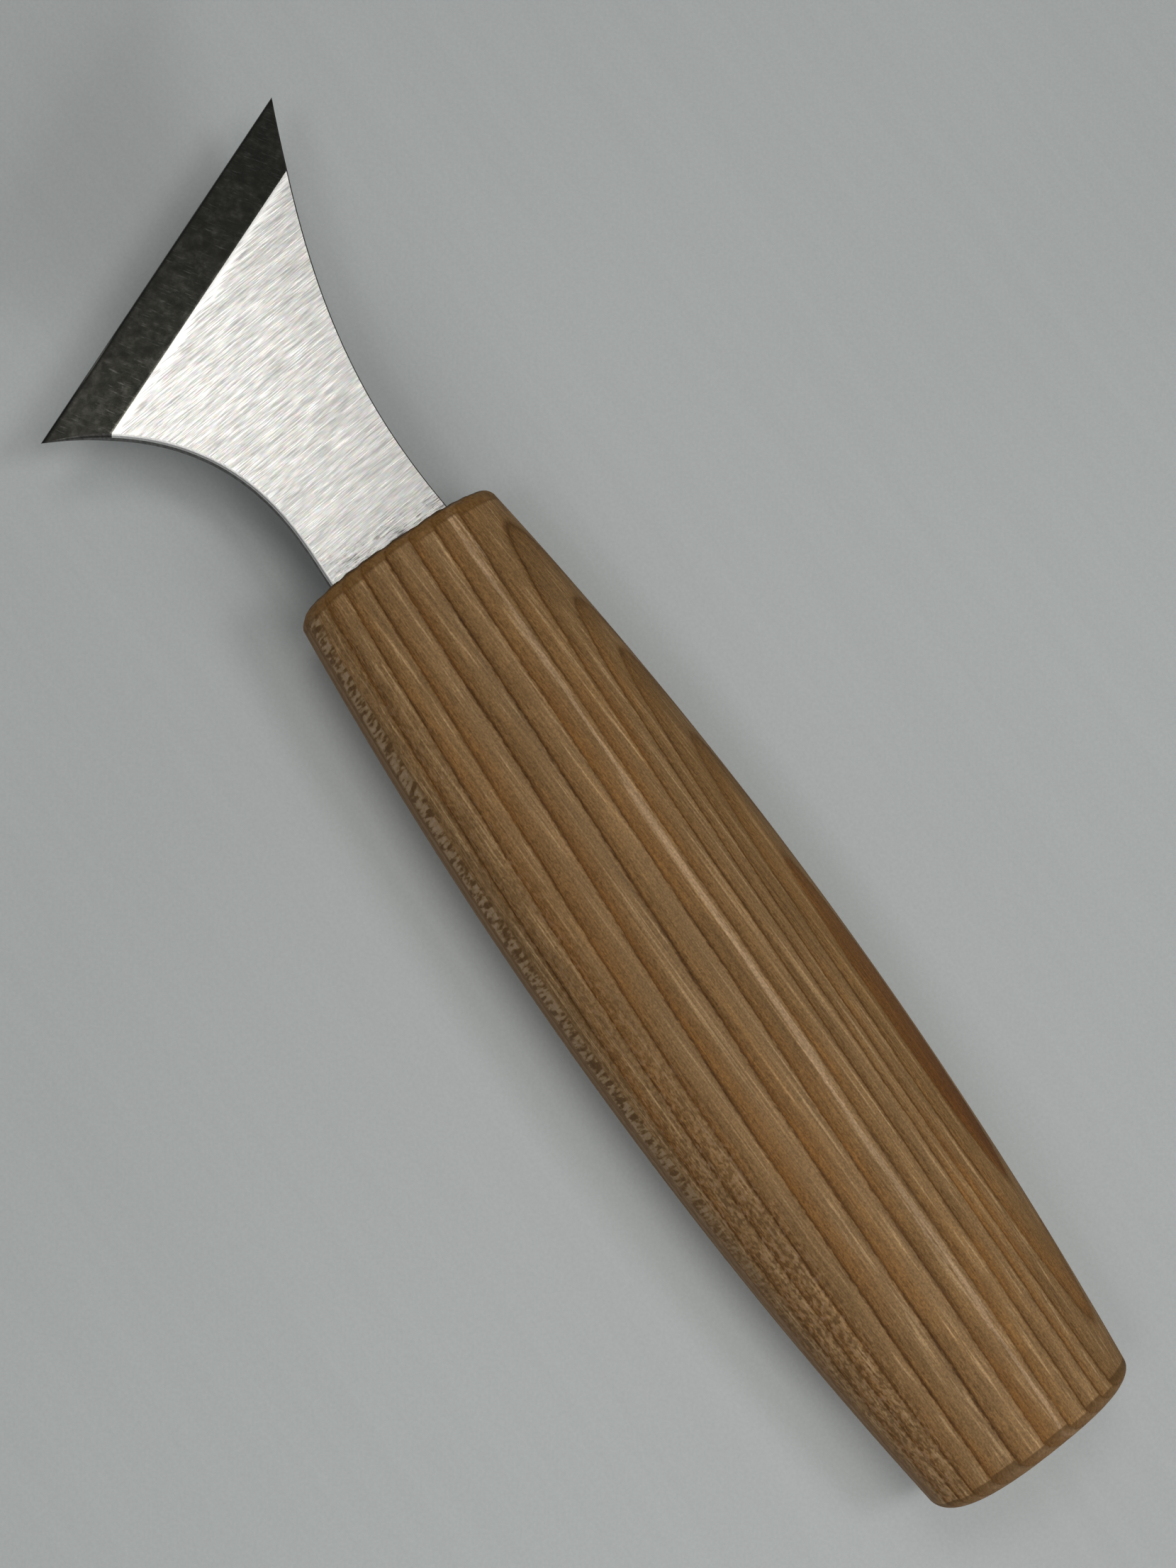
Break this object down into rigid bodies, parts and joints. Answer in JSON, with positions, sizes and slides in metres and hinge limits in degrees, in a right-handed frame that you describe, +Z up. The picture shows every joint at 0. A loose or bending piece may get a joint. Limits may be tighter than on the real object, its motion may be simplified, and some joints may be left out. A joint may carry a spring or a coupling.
{
  "type": "whittling knife",
  "caption": "Fixed-blade wood carving knife: fishtail blade with a skewed straight edge, bevelled on both sides, and a one-piece oval barrel handle in oiled ash.",
  "frame": {"origin": "middle of the bounding box at its lowest level, with the knife lying on the broad side of its handle", "axes": "+X along the handle from the butt to the cutting edge, -Y towards the tip that reaches further forward, +Z up through the blade's thickness"},
  "size_m": [0.1704, 0.044, 0.0232],
  "materials": {
    "blade_steel": "flats brushed across the blade, bevels finely ground",
    "handle_ash": "sanded and oiled ash, satin",
    "cured_epoxy": "cured clear-amber epoxy"
  },
  "bodies": {
    "root": {"blade": "blade_steel", "handle": "handle_ash", "tang_adhesive": "cured_epoxy"}
  },
  "joints": []
}
